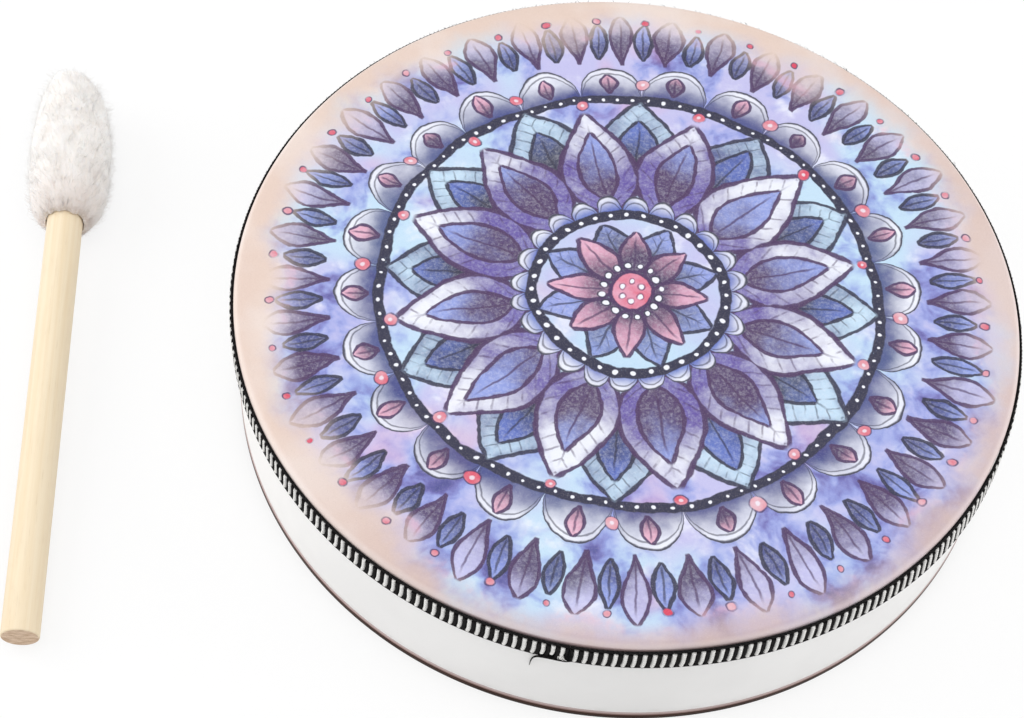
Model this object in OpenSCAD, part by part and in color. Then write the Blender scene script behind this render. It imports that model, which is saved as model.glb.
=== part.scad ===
// A hand-held frame drum, with its fleece-headed beater lying beside it.
// The drum's axis is Z and its foot stands on z = 0. Sizes are in millimetres.

/* [Hoop] */
// Radius of the finished outside wall
hoop_r = 125; // [100:0.5:150]
// Height of the playing surface above the foot
drum_h = 49.5; // [45:0.5:70]
// Thickness of each of the three bent plies
ply_t = 2; // [1.8:0.1:3]
// Thickness of the white laminate round the outside
laminate_t = 0.35; // [0.2:0.05:0.5]
// Thickness of the glue film between two layers
glue_t = 0.05; // [0.04:0.01:0.08]
// Fall of the bevel from the bearing edge to the inside wall
bevel_drop = 1.7; // [0.6:0.1:3]
// Gap left in a seam
seam_gap = 0.1; // [0.08:0.02:0.2]
// Slant of a ply's scarf seam, away from straight through the ply
scarf_angle = 76; // [60:1:80]

/* [Foot bead] */
// Height of the bead
bead_h = 4; // [2.4:0.2:6]
// How far the bead stands out of the laminate
bead_out = 0.2; // [0.1:0.05:1.3]
// Width of the eased edges of the bead
bead_ease = 0.25; // [0.1:0.05:0.25]

/* [Head] */
// Thickness of the membrane
head_t = 0.35; // [0.2:0.05:0.5]
// Length of the collar below the rounded edge
collar_h = 8; // [5:0.5:9]

/* [Braid] */
// Height of the trim, ribs and header together
braid_h = 8.8; // [8:0.2:14]
// Depth of the header's top below the playing surface
braid_drop = 2.3; // [1.6:0.1:3]
// Thickness of the ground tape
tape_t = 0.35; // [0.2:0.05:0.5]
// Height of the selvedge along the tape's lower edge
selvedge_h = 0.45; // [0.3:0.05:0.8]
// How far the selvedge stands out of the tape
selvedge_out = 0.9; // [0.4:0.05:1.3]
// Radius of the header's round face
header_r = 0.7; // [0.5:0.05:1.2]
// How far the header stands out of the tape
header_out = 0.6; // [0.5:0.05:1.2]
// Number of white ribs round the drum
rib_count = 279; // [239:10:299]
// How far a white rib stands out of the tape
white_out = 1.05; // [0.5:0.05:1.4]
// How far a black rib stands out of the tape
black_out = 0.95; // [0.4:0.05:1.3]
// Share of the pitch that a white rib takes
white_share = 0.54; // [0.45:0.01:0.6]
// Gap between two ribs
rib_gap = 0.06; // [0.04:0.01:0.1]
// Direction of the join, seen from above
join_angle = -94.4; // [-180:0.1:180]
// Pitches between the two white ribs beside the join
join_pitches = 1.4; // [1.3:0.1:2]
// Length beside the join over which the white ribs run short
short_len = 11; // [8:1:20]
// How much shorter a white rib would be right at the join
short_by = 3.2; // [1:0.1:4]

/* [Beater] */
// Diameter of the dowel
handle_d = 12; // [8:0.5:16]
// Length of bare wood, from the butt to the fleece
grip_len = 153; // [120:1:220]
// Length of dowel inside the head
socket_len = 42; // [30:1:44]
// Chamfer at the dowel's ends
handle_chamfer = 0.6; // [0.3:0.1:1.5]
// Greatest diameter of the fleece
fleece_d = 28; // [26:0.5:36]
// Length of the fleece's body, which its tip passes by a twenty-fifth
fleece_len = 60; // [55:1:70]
// Depth of the pile over the wadding
pile_t = 5; // [4:0.25:5.5]
// Distance of the butt's centre to the left of the drum's axis
butt_left = 175; // [150:1:220]
// Distance of the butt's centre in front of the drum's axis
butt_front = 121.5; // [60:0.5:160]
// Heading of the beater, from butt to tip, seen from above
heading = 96; // [90:0.1:110]

/* [Hidden] */
$fn = 96;

// Radii of the layers, from the outside in
outer_ro = hoop_r - laminate_t - glue_t;
outer_ri = outer_ro - ply_t;
core_ro = outer_ri - glue_t;
core_ri = core_ro - ply_t;
inner_ro = core_ri - glue_t;
inner_ri = inner_ro - ply_t;

// The head turns down about a point over the outer ply
hoop_top = drum_h - head_t - glue_t;
bend_ri = hoop_r + glue_t - outer_ri;
bend_ro = bend_ri + head_t;
bend_z = drum_h - bend_ro;

// The braid lies on the collar
tape_ri = outer_ri + bend_ro + glue_t;
tape_ro = tape_ri + tape_t;
rib_r = tape_ro + glue_t;
header_z = drum_h - braid_drop - header_r;
braid_z = drum_h - braid_drop - braid_h;
tape_h = header_z - braid_z;
rib_low = braid_z + selvedge_h + glue_t;
rib_top = header_z - header_r - glue_t;
rib_pitch = 360 / (rib_count - 1 + join_pitches);
pitch_len = rib_r * rib_pitch * PI / 180;
white_w = white_share * pitch_len - rib_gap;
black_w = (1 - white_share) * pitch_len - rib_gap;
// Two black ribs share the space at the join, one on each cut end
end_w = (join_pitches * pitch_len - white_w - 2 * rib_gap - seam_gap) / 2;
end_step = (end_w + seam_gap) / 2 / rib_r * 180 / PI;
short_angle = short_len / rib_r * 180 / PI;

// The fleece swells to its belly and runs out to a tip
handle_r = handle_d / 2;
handle_len = grip_len + socket_len;
socket_r = handle_r + glue_t;
belly = 0.64;
fleece_reach = 0.68;
wadding_reach = 0.56;
fullness = 0.78;
fleece_steps = 24;
wadding_steps = 16;
wadding_neck = 0.88;
wadding_tip = belly - wadding_reach;
fleece_tip = belly - fleece_reach;

// The hem is bound on the dowel, in a recess under the overhanging pile
hem_t = 0.9;
binding_t = 0.8;
binding_len = 3;
recess_len = 4;

function swell(u, radius, reach) = radius * pow(max(0, 1 - pow((u - belly) / reach, 2)), fullness);
function station(u) = grip_len + (1 - u) * fleece_len;
function fleece_r_at(u) = swell(u, fleece_d / 2, fleece_reach);
function wadding_r_at(u) = swell(u, fleece_d / 2 - pile_t, wadding_reach);

fleece_u = [for (i = [0:fleece_steps]) 1 - i / fleece_steps * (1 - fleece_tip)];
wadding_u = [for (i = [0:wadding_steps]) wadding_neck - i / wadding_steps * (wadding_neck - wadding_tip)];

// The beater lies on its butt's edge and on its fleece
tilt = atan(max([for (u = fleece_u) (fleece_r_at(u) - handle_r) / (station(u) - handle_chamfer)]));
butt_z = handle_r * cos(tilt) - handle_chamfer * sin(tilt);

// Height of the inside bevel at radius r
function bevel_z(r) = hoop_top - bevel_drop * (outer_ri - r) / (outer_ri - inner_ri);

// A thin slot through a layer, slanted from straight through
module seam(r_mid, thick, angle, slant) {
  rotate([0, 0, angle])
    translate([r_mid, 0, drum_h / 2])
      rotate([0, 0, slant])
        cube([1.5 * thick / cos(slant), seam_gap, drum_h + 2], center = true);
}

// A bent ply whose top follows the inside bevel
module bevelled_ply(r_in, r_out, seam_at) {
  difference() {
    rotate_extrude()
      polygon([[r_in, 0], [r_out, 0], [r_out, bevel_z(r_out)], [r_in, bevel_z(r_in)]]);
    seam((r_in + r_out) / 2, ply_t, seam_at, scarf_angle);
  }
}

module hoop_inner_ply() {
  color("burlywood") bevelled_ply(inner_ri, inner_ro, 20);
}

module hoop_core_ply() {
  color("tan") bevelled_ply(core_ri, core_ro, 140);
}

// The outer ply carries the rounded bearing edge
module hoop_outer_ply() {
  color("burlywood") difference() {
    rotate_extrude() {
      translate([outer_ri, 0]) square([ply_t, hoop_top - ply_t]);
      translate([outer_ri, hoop_top - ply_t]) intersection() {
        circle(ply_t);
        square(ply_t);
      }
    }
    seam((outer_ri + outer_ro) / 2, ply_t, 260, scarf_angle);
  }
}

module hoop_laminate() {
  color("whitesmoke") difference() {
    rotate_extrude()
      translate([hoop_r - laminate_t, bead_h + glue_t])
        square([laminate_t, bend_z - bead_h - glue_t]);
    seam(hoop_r - laminate_t / 2, laminate_t, 80, 0);
  }
}

// A strip glued to the outer ply, under the laminate's lower edge, with its outside edges eased
module foot_bead() {
  back = hoop_r - laminate_t;
  deep = bead_out + laminate_t;
  flat = deep - bead_ease;
  color("saddlebrown") difference() {
    rotate_extrude() translate([back, 0])
      polygon([[0, 0], [flat, 0], [deep, bead_ease], [deep, bead_h - bead_ease], [flat, bead_h], [0, bead_h]]);
    seam(back + deep / 2, deep, 100, 30);
  }
}

// One membrane: the playing surface, its rounded edge and the collar
module drum_head() {
  color("thistle") rotate_extrude() {
    translate([0, drum_h - head_t]) square([outer_ri, head_t]);
    translate([outer_ri, bend_z]) intersection() {
      difference() {
        circle(bend_ro);
        circle(bend_ri);
      }
      square(bend_ro);
    }
    translate([outer_ri + bend_ri, bend_z - collar_h]) square([head_t, collar_h]);
  }
}

// The ground tape, with a selvedge that stands out under the ribs
module braid_tape() {
  foot = tape_t + selvedge_out;
  color("black") difference() {
    rotate_extrude() translate([tape_ri, braid_z])
      polygon([[0, 0], [foot, 0], [foot, selvedge_h], [tape_t, selvedge_h], [tape_t, tape_h], [0, tape_h]]);
    seam(tape_ri + foot / 2, foot, join_angle, 0);
  }
}

module braid_header() {
  color("black") difference() {
    rotate_extrude() intersection() {
      translate([tape_ro + header_out - header_r, header_z]) circle(header_r);
      translate([rib_r, header_z - header_r]) square(2 * header_r);
    }
    seam(rib_r + header_out / 2, 2 * header_r, join_angle, 0);
  }
}

// One yarn bundle, flat on the tape and rounded outside
module rib(width, out, angle, low) {
  rotate([0, 0, angle])
    translate([rib_r, 0, low])
      linear_extrude(rib_top - low)
        polygon([
          [0, -width / 2], [0.5 * out, -width / 2], [out, -width / 5],
          [out, width / 5], [0.5 * out, width / 2], [0, width / 2]
        ]);
}

// Turn from the join to a rib, counted in pitches from the first white rib
function rib_turn(i) = (join_pitches / 2 + i) * rib_pitch;

// Lower end of a white rib that stands this far round from the join
function white_low(turn) = rib_low + short_by * max(0, 1 - (360 - turn) / short_angle);

module braid_white_ribs() {
  color("white")
    for (i = [0:rib_count - 1])
      rib(white_w, white_out, join_angle + rib_turn(i), white_low(rib_turn(i)));
}

module braid_black_ribs() {
  color("black") {
    for (i = [0:rib_count - 2])
      rib(black_w, black_out, join_angle + rib_turn(i + 0.5), rib_low);
    for (turn = [end_step, 360 - end_step])
      rib(end_w, black_out, join_angle + turn, rib_low);
  }
}

// Stands a shape that was turned about Z along the beater's axis
module along_beater() {
  translate([-butt_left, -butt_front, butt_z])
    rotate([0, 90 - tilt, heading])
      children();
}

module beater_handle() {
  color("wheat") along_beater() rotate_extrude()
    polygon([
      [0, 0], [handle_r - handle_chamfer, 0], [handle_r, handle_chamfer],
      [handle_r, handle_len - handle_chamfer], [handle_r - handle_chamfer, handle_len], [0, handle_len]
    ]);
}

module beater_wadding() {
  color("ivory") along_beater() rotate_extrude()
    polygon(concat(
      [[socket_r, station(wadding_neck)]],
      [for (u = wadding_u) [wadding_r_at(u), station(u)]],
      [[0, handle_len + glue_t], [socket_r, handle_len + glue_t]]
    ));
}

module beater_fleece() {
  hem_ro = socket_r + hem_t;
  recess_ro = hem_ro + binding_t + 2 * glue_t;
  recess_z = grip_len + recess_len;
  color("snow") along_beater() rotate_extrude()
    polygon(concat(
      [[socket_r, grip_len], [hem_ro, grip_len], [hem_ro, recess_z], [recess_ro, recess_z], [recess_ro, grip_len]],
      [for (u = fleece_u) [fleece_r_at(u), station(u)]],
      [[0, station(wadding_tip) + glue_t]],
      [for (i = [wadding_steps:-1:0]) [wadding_r_at(wadding_u[i]) + glue_t, station(wadding_u[i])]],
      [[wadding_r_at(wadding_neck) + glue_t, station(wadding_neck) - glue_t],
       [socket_r, station(wadding_neck) - glue_t]]
    ));
}

module beater_binding() {
  color("linen") along_beater() rotate_extrude()
    translate([socket_r + hem_t + glue_t, grip_len + (recess_len - binding_len) / 2])
      square([binding_t, binding_len]);
}

hoop_inner_ply();
hoop_core_ply();
hoop_outer_ply();
hoop_laminate();
foot_bead();
drum_head();
braid_tape();
braid_header();
braid_white_ribs();
braid_black_ribs();
beater_handle();
beater_wadding();
beater_fleece();
beater_binding();
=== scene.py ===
# %% [markdown]
# # A shaman drum and its beater
# The drum is a shallow hoop of bent wood with a white skin outside and one printed head. A striped braid
# hides the edge of the head, and a brown bead runs round the foot. The beater is a plain dowel with a fleece
# head, and it lies loose beside the drum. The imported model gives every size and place, so this lesson only
# dresses it: each piece is made again with a finer mesh and a finish of its own.

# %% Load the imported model
import math
import random

import bmesh
import bpy
from mathutils import Matrix, Vector, noise


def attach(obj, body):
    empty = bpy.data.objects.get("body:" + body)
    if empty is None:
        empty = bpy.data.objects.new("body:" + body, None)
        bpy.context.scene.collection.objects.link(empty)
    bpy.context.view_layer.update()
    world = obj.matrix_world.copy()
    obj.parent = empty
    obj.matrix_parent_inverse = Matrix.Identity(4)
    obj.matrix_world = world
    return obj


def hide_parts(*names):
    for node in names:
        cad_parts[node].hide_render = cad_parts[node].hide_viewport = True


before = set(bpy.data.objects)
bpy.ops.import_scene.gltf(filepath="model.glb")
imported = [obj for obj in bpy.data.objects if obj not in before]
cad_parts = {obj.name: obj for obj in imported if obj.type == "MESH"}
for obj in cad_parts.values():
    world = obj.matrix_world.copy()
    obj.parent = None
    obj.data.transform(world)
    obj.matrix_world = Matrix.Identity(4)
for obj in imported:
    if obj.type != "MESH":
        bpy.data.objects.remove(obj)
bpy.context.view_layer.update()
MM = 0.001
TURN = 2 * math.pi

# %% [markdown]
# ## The camera
# A camera can be placed by eye, but here it was worked out from the ellipses of the rim and the foot, which
# fix the height, the distance and the lens together. The focal length is known in pixels, so it becomes a
# lens length on Blender's usual 36 mm sensor. The matrix holds the camera's own right, up and back axes.

# %% Camera
IMAGE_WIDTH = 1024
FOCAL_PIXELS = 2168.3
SENSOR = 36.0
AIM = Vector((-34.92, -30.7, 49.5)) * MM
DISTANCE = 673.33 * MM
ELEVATION = math.radians(56.216)
ROLL = math.radians(5.912)

back = Vector((0, -math.cos(ELEVATION), math.sin(ELEVATION)))
level = Vector((1, 0, 0))
rise = level.cross(-back)
right = math.cos(ROLL) * level + math.sin(ROLL) * rise
up = math.cos(ROLL) * rise - math.sin(ROLL) * level
camera_data = bpy.data.cameras.new("camera")
camera_data.sensor_width = SENSOR
camera_data.lens = FOCAL_PIXELS / IMAGE_WIDTH * SENSOR
camera_data.clip_start = 0.01
camera = bpy.data.objects.new("camera", camera_data)
facing = Matrix((right, up, back)).transposed().to_4x4()
camera.matrix_world = Matrix.Translation(AIM + DISTANCE * back) @ facing
bpy.context.scene.collection.objects.link(camera)
bpy.context.scene.camera = camera
bpy.context.scene.view_settings.view_transform = "Standard"
print("lens in mm:", round(camera_data.lens, 2))

# %% [markdown]
# ## Shader maths as Python
# A node tree is easy to read as a picture and hard to read as code. This class wraps one output socket, so
# that sums on sockets look like sums on numbers, and each sum adds its Math node. Colours are blended with
# Mix nodes, because a Math node would turn them grey. Every other node comes from the one method `node`.


# %% The socket wrapper
class Wire:
    """One output socket of a node tree."""

    def __init__(self, tree, socket=None):
        self.tree = tree
        self.socket = socket

    def node(self, kind, inputs=None, out=0, **settings):
        """Adds a node of any kind: its settings first, then the values or wires of its sockets."""
        made = self.tree.nodes.new(kind)
        for name, value in settings.items():
            setattr(made, name, value)
        for key, value in (inputs or {}).items():
            if isinstance(value, Wire):
                self.tree.links.new(value.socket, made.inputs[key])
            else:
                made.inputs[key].default_value = value
        return Wire(self.tree, made.outputs[out] if made.outputs else None)

    def math(self, operation, *others):
        return self.node("ShaderNodeMath", dict(enumerate((self,) + others)), operation=operation)

    def __add__(self, other):
        return self.math("ADD", other)

    def __radd__(self, other):
        return self.math("ADD", other)

    def __sub__(self, other):
        return self.math("SUBTRACT", other)

    def __rsub__(self, other):
        return self.node("ShaderNodeMath", {0: other, 1: self}, operation="SUBTRACT")

    def __mul__(self, other):
        return self.math("MULTIPLY", other)

    def __rmul__(self, other):
        return self.math("MULTIPLY", other)

    def __truediv__(self, other):
        return self.math("DIVIDE", other)

    def __pow__(self, other):
        return self.math("POWER", other)

    def __abs__(self):
        return self.math("ABSOLUTE")

    def ease(self, low, high):
        """0 below low, 1 above high and a smooth rise between."""
        inputs = {"Value": self, "From Min": low, "From Max": high}
        return self.node("ShaderNodeMapRange", inputs, interpolation_type="SMOOTHSTEP")

    def mix(self, first, second, blend="MIX"):
        """This socket as the factor between two colours."""
        inputs = {0: self, 6: first, 7: second}
        return self.node("ShaderNodeMix", inputs, out=2, data_type="RGBA", blend_type=blend)

    def vector_math(self, operation, **inputs):
        by_place = {0: self, **{int(key[1:]): value for key, value in inputs.items()}}
        return self.node("ShaderNodeVectorMath", by_place, operation=operation)

    def axes(self):
        return [self.node("ShaderNodeSeparateXYZ", {0: self}, out=index) for index in range(3)]

    def vector(self, *parts):
        return self.node("ShaderNodeCombineXYZ", dict(enumerate(parts)))

    def cloud(self, scale, detail=3.0, rough=0.55, out=0):
        """Noise read at this vector."""
        inputs = {"Vector": self, "Scale": scale, "Detail": detail, "Roughness": rough}
        return self.node("ShaderNodeTexNoise", inputs, out=out)

    def wobbled(self, scale, amount):
        """This vector, pushed about by a colour noise of that scale."""
        push = self.cloud(scale, 2.0, out=1).vector_math("SUBTRACT", i1=(0.5, 0.5, 0.5))
        return push.vector_math("MULTIPLY_ADD", i1=(amount, amount, amount), i2=self)


def ink(red, green, blue):
    """A screen colour from 0 to 255 as the linear colour that nodes use."""
    parts = [channel / 255 for channel in (red, green, blue)]
    return [p / 12.92 if p <= 0.04045 else ((p + 0.055) / 1.055) ** 2.4 for p in parts] + [1.0]


def new_finish(name, roughness, **constants):
    """A material with one Principled shader, and a wire of its Object coordinates in mm."""
    material = bpy.data.materials.new(name)
    material.use_nodes = True
    tree = material.node_tree
    tree.nodes.clear()
    output = tree.nodes.new("ShaderNodeOutputMaterial")
    shader = tree.nodes.new("ShaderNodeBsdfPrincipled")
    tree.links.new(shader.outputs[0], output.inputs["Surface"])
    shader.inputs["Roughness"].default_value = roughness
    for socket, value in constants.items():
        shader.inputs[socket.replace("_", " ")].default_value = value
    place = Wire(tree).node("ShaderNodeTexCoord", out="Object")
    return material, shader, place.vector_math("MULTIPLY", i1=(1 / MM, 1 / MM, 1 / MM))


def plug(shader, **wires):
    """Joins wires to the shader's sockets. A height and its depth in mm go through a Bump node."""
    for name, wire in wires.items():
        if name == "height":
            inputs = {"Height": wire[0], "Distance": wire[1] * MM, "Strength": 1.0}
            wire, name = wire[0].node("ShaderNodeBump", inputs), "Normal"
        wire.tree.links.new(wire.socket, shader.inputs[name.replace("_", " ")])


print("wrapper ready")

# %% [markdown]
# ## The stage
# The photograph is a cut-out on white with soft light from both sides. A dark floor would tint the white
# hoop from below, so the floor is white too. Camera rays see it mostly as plain white, and the part of it
# that is still lit keeps a faint shadow under the object. The sky is plain white for the camera, and dimmer
# as a light.

# %% Floor and sky
RAY_NAMES = ("Is Camera Ray", "Is Glossy Ray", "Is Transmission Ray")
FLOOR_HALF, FLOOR_DROP = 4.0, 0.05 * MM
FLOOR_WHITE = 0.8
SKY_LIGHT = 0.55


def seen_directly(start):
    """1 for a ray from the camera, or for one that it sends by way of a mirror or glass."""
    camera_ray, glossy_ray, clear_ray = [start.node("ShaderNodeLightPath", out=name) for name in RAY_NAMES]
    return (camera_ray + glossy_ray + clear_ray).math("MINIMUM", 1.0)


floor_mesh = bpy.data.meshes.new("floor")
shape = bmesh.new()
bmesh.ops.create_grid(shape, x_segments=1, y_segments=1, size=FLOOR_HALF)
bmesh.ops.translate(shape, verts=shape.verts, vec=(0, 0, -FLOOR_DROP))
shape.to_mesh(floor_mesh)
shape.free()
floor = bpy.data.objects.new("floor", floor_mesh)
bpy.context.scene.collection.objects.link(floor)

floor_paint = bpy.data.materials.new("floor_paint")
floor_paint.use_nodes = True
floor_paint.node_tree.nodes.clear()
start = Wire(floor_paint.node_tree)
lit = start.node("ShaderNodeBsdfDiffuse", {"Color": ink(240, 240, 240)})
white = start.node("ShaderNodeEmission", {"Color": (1, 1, 1, 1), "Strength": 1.0})
seen = start.node("ShaderNodeMixShader", {0: seen_directly(start) * FLOOR_WHITE, 1: lit, 2: white})
start.node("ShaderNodeOutputMaterial", {"Surface": seen})
floor_mesh.materials.append(floor_paint)

sky = bpy.data.worlds.new("sky")
sky.use_nodes = True
sky.node_tree.nodes.clear()
bpy.context.scene.world = sky
start = Wire(sky.node_tree)
strength = seen_directly(start) * (1 - SKY_LIGHT) + SKY_LIGHT
glow = start.node("ShaderNodeBackground", {"Color": (1, 1, 1, 1), "Strength": strength})
start.node("ShaderNodeOutputWorld", {"Surface": glow})
print("floor and sky ready")

# %% [markdown]
# ## The lamps
# The white wall is brightest at the left, a little less at the right and greyest in front, so a large soft
# lamp stands at each side and a third hangs over the head. Area lamps give the soft edges of a studio's
# softboxes. Their power is kept low enough that white renders just under white.

# %% Softboxes: the place of each, its width and its power
LAMPS_AIM = Vector((0, 0, 0.03))
LAMPS = {
    "left_softbox": ((-0.95, 0.05, 0.55), 0.9, 5.6),
    "right_softbox": ((1.0, 0.1, 0.6), 0.9, 5.2),
    "top_softbox": ((0.0, -0.1, 1.3), 1.2, 6.6),
}
for name, (place, size, power) in LAMPS.items():
    lamp = bpy.data.lights.new(name, "AREA")
    lamp.size = size
    lamp.energy = power
    holder = bpy.data.objects.new(name, lamp)
    facing = (LAMPS_AIM - Vector(place)).to_track_quat("-Z", "Y")
    holder.matrix_world = Matrix.Translation(place) @ facing.to_matrix().to_4x4()
    bpy.context.scene.collection.objects.link(holder)
print("lamps:", len(LAMPS))

# %% [markdown]
# ## Turned and bent strips
# Nearly everything on the drum is a section carried once round its axis, so one helper spins a section with
# `bmesh.ops.spin`. The plies, the skin and the bead are strips, whose ends meet at a seam: their section is a
# face, which spin carries almost once round and leaves closed at both ends. A scarf seam is slanted, so its
# section is drawn along the slant. The head has no seam, so its outline is a chain of edges from the middle
# of the top to the middle of the underside, spun a full turn with its first and last rings merged.

# %% Sizes of the hoop, in mm
HOOP_R, DRUM_H = 125.0, 49.5
PLY, SKIN, GLUE, SEAM_GAP = 2.0, 0.35, 0.05, 0.1
SCARF = 76
BEVEL_DROP = 1.7
outer_ro = HOOP_R - SKIN - GLUE
outer_ri = outer_ro - PLY
core_ri = outer_ri - GLUE - PLY
inner_ri = core_ri - GLUE - PLY
hoop_top = DRUM_H - SKIN - GLUE
bend_in = HOOP_R + GLUE - outer_ri
bend_out = bend_in + SKIN
bend_z = DRUM_H - bend_out
print("hoop radii in mm:", round(inner_ri, 2), round(outer_ro, 2))


# %% Helpers for spun pieces
def arc(centre, radius, first, last, count):
    """Points (r, z) on an arc, from one angle to another in degrees."""
    angles = [math.radians(first + (last - first) * step / count) for step in range(count + 1)]
    return [(centre[0] + radius * math.cos(a), centre[1] + radius * math.sin(a)) for a in angles]


def spun_strip(section, seam, slant=0.0, steps=360):
    """A closed section (r, z) spun round Z, with its ends left apart at a seam."""
    shape = bmesh.new()
    middle = (min(r for r, z in section) + max(r for r, z in section)) / 2
    gap = SEAM_GAP / math.cos(math.radians(slant))
    corners = []
    for r, z in section:
        along = gap / 2 + (r - middle) * math.tan(math.radians(slant))
        angle = math.radians(seam) + along / r
        corners.append(shape.verts.new(Vector((r * math.cos(angle), r * math.sin(angle), z)) * MM))
    face = shape.faces.new(corners)
    strip = [face] + face.edges[:] + face.verts[:]
    open_turn = TURN - gap / middle
    bmesh.ops.spin(shape, geom=strip, cent=(0, 0, 0), axis=(0, 0, 1), angle=open_turn, steps=steps)
    return shape


def spun_whole(chain, steps=360):
    """A chain of points (r, z) spun a full turn round Z."""
    shape = bmesh.new()
    points = [shape.verts.new(Vector((r, 0, z)) * MM) for r, z in chain]
    edges = [shape.edges.new(pair) for pair in zip(points, points[1:])]
    bmesh.ops.spin(
        shape, geom=points + edges, cent=(0, 0, 0), axis=(0, 0, 1), angle=TURN, steps=steps, use_merge=True
    )
    return shape


WELD = 0.0005 * MM


def piece(name, shape, finish, body, nodes=(), sharp=40):
    """Merges, turns outwards and shades a shape, and gives it to a body as a piece."""
    bmesh.ops.remove_doubles(shape, verts=shape.verts, dist=WELD)
    bmesh.ops.recalc_face_normals(shape, faces=shape.faces)
    loose = sum(not edge.is_manifold for edge in shape.edges)
    mesh = bpy.data.meshes.new(name)
    shape.to_mesh(mesh)
    shape.free()
    mesh.shade_smooth()
    mesh.set_sharp_from_angle(angle=math.radians(sharp))
    mesh.materials.append(finish)
    made = bpy.data.objects.new(name, mesh)
    bpy.context.scene.collection.objects.link(made)
    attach(made, body)
    if nodes:
        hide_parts(*nodes)
    mesh.calc_loop_triangles()
    print(name, "triangles:", len(mesh.loop_triangles), "open edges:", loose)
    return made


# %% [markdown]
# ## Bent plywood
# The hoop is three thin strips of wood, bent and glued with their seams apart. From below, its bare inside
# shows long grain that follows the bend. Grain is noise that is stretched one way, so the finish reads the
# angle round the drum as a length. The angle jumps at one direction, so a Mapping node turns that jump into
# the strip's own seam, where real grain breaks too.


# %% Plywood finish
def bent_wood(name, seam, pale, dark):
    """Bare wood whose grain runs round the hoop and breaks at the strip's seam."""
    material, shader, spot = new_finish(name, 0.62)
    inputs = {"Vector": spot, "Rotation": (0, 0, math.pi - math.radians(seam))}
    x, y, z = spot.node("ShaderNodeMapping", inputs).axes()
    around = y.math("ARCTAN2", x) * HOOP_R
    across = (x * x + y * y).math("SQRT")
    grain = spot.vector(around * 0.035, z, across)
    streak = grain.cloud(0.55, 5.0, 0.6)
    pores = spot.vector(around * 0.12, z * 2.2, across * 2.2).cloud(1.6, 2.0, 0.5).ease(0.58, 0.72)
    stain = spot.cloud(0.02, 2.0)
    colour = streak.ease(0.3, 0.72).mix(pale, dark)
    colour = (pores * 0.45).mix(colour, ink(128, 92, 58))
    colour = (stain.ease(0.35, 0.75) * 0.3).mix(colour, ink(176, 132, 88))
    plug(shader, Base_Color=colour, Roughness=streak * 0.2 + 0.5, height=(streak * 0.4 - pores, 0.05))
    return material


def bevel_z(r):
    return hoop_top - BEVEL_DROP * (outer_ri - r) / (outer_ri - inner_ri)


# %% The three plies
PLIES = {"inner": (inner_ri, 20), "core": (core_ri, 140), "outer": (outer_ri, 260)}
for name, (low_r, seam) in PLIES.items():
    high_r = low_r + PLY
    section = [(low_r, 0), (high_r, 0), (high_r, bevel_z(high_r)), (low_r, bevel_z(low_r))]
    if name == "outer":
        section = [(low_r, 0), (high_r, 0)] + arc((low_r, hoop_top - PLY), PLY, 0, 90, 6)
    tones = (ink(221, 188, 144), ink(190, 150, 104))
    if name == "core":
        tones = (ink(206, 168, 122), ink(170, 128, 84))
    finish = bent_wood(name + "_ply_wood", seam, *tones)
    piece(name + "_ply", spun_strip(section, seam, SCARF), finish, "drum", [f"hoop_{name}_ply"])

# %% [markdown]
# ## The white skin
# The outside of the hoop carries a thin white laminate with a satin gloss. On the real one it is very even,
# so only a weak cloud changes its shade and its gloss, with a slight ripple of the wood under it that
# shows in the reflections.

# %% White laminate
white_skin, shader, spot = new_finish("white_laminate", 0.4)
x, y, z = spot.axes()
cloud = spot.cloud(0.03, 3.0)
fleck = spot.cloud(1.4, 2.0).ease(0.66, 0.78)
ripple = spot.vector(x * 0.12, y * 0.12, z * 0.5).cloud(0.5, 2.0)
tone = (cloud.ease(0.3, 0.7) * 0.7).mix(ink(243, 242, 241), ink(236, 235, 234))
tone = (fleck * 0.25).mix(tone, ink(216, 212, 208))
grime = (1 - z.ease(4.0, 7.5)) * spot.cloud(0.25, 3.0).ease(0.4, 0.75) * 0.35
tone = grime.mix(tone, ink(206, 198, 192))
plug(shader, Base_Color=tone, Roughness=cloud * 0.16 + 0.3, height=(ripple + fleck * 0.1, 0.04))
BEAD_H, SKIN_SEAM = 4.0, 80
skin_section = [
    (HOOP_R - SKIN, BEAD_H + GLUE), (HOOP_R, BEAD_H + GLUE), (HOOP_R, bend_z), (HOOP_R - SKIN, bend_z)
]
skin = spun_strip(skin_section, SKIN_SEAM)
piece("laminate", skin, white_skin, "drum", ["hoop_laminate"])

# %% [markdown]
# ## The foot bead
# A thin brown strip is glued round the foot, and its outside edges are eased. Its tone is painted by height:
# a paler painted sheen on its upper half, and painted shade that keeps its lower half nearly black. Its
# section is a flat band with an arc at each outside corner, spun as a strip.

# %% Brown bead
brown, shader, spot = new_finish("brown_bead", 0.4, Specular_IOR_Level=0.03)
x, y, z = spot.axes()
around = y.math("ARCTAN2", x) * HOOP_R
grain = spot.vector(around * 0.05, z, 0.0).cloud(1.1, 4.0)
rub = spot.vector(around * 0.3, z * 0.6, 0.0).cloud(0.5, 3.0).ease(0.6, 0.75) * z.ease(2.2, 3.4)
# Dark brown wood grain; on the lower half this dark tone is also painted shade.
tone = grain.ease(0.3, 0.7).mix(ink(66, 40, 29), ink(52, 30, 21))
# Painted shade: the bottom of the bead darkens nearly to black.
tone = ((1 - z.ease(0.6, 1.6)) * 0.7).mix(tone, ink(32, 17, 11))
# Painted highlight: from half height up the bead turns a pale mauve brown.
tone = z.ease(2.4, 2.7).mix(tone, grain.ease(0.3, 0.7).mix(ink(160, 132, 127), ink(140, 112, 106)))
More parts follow.
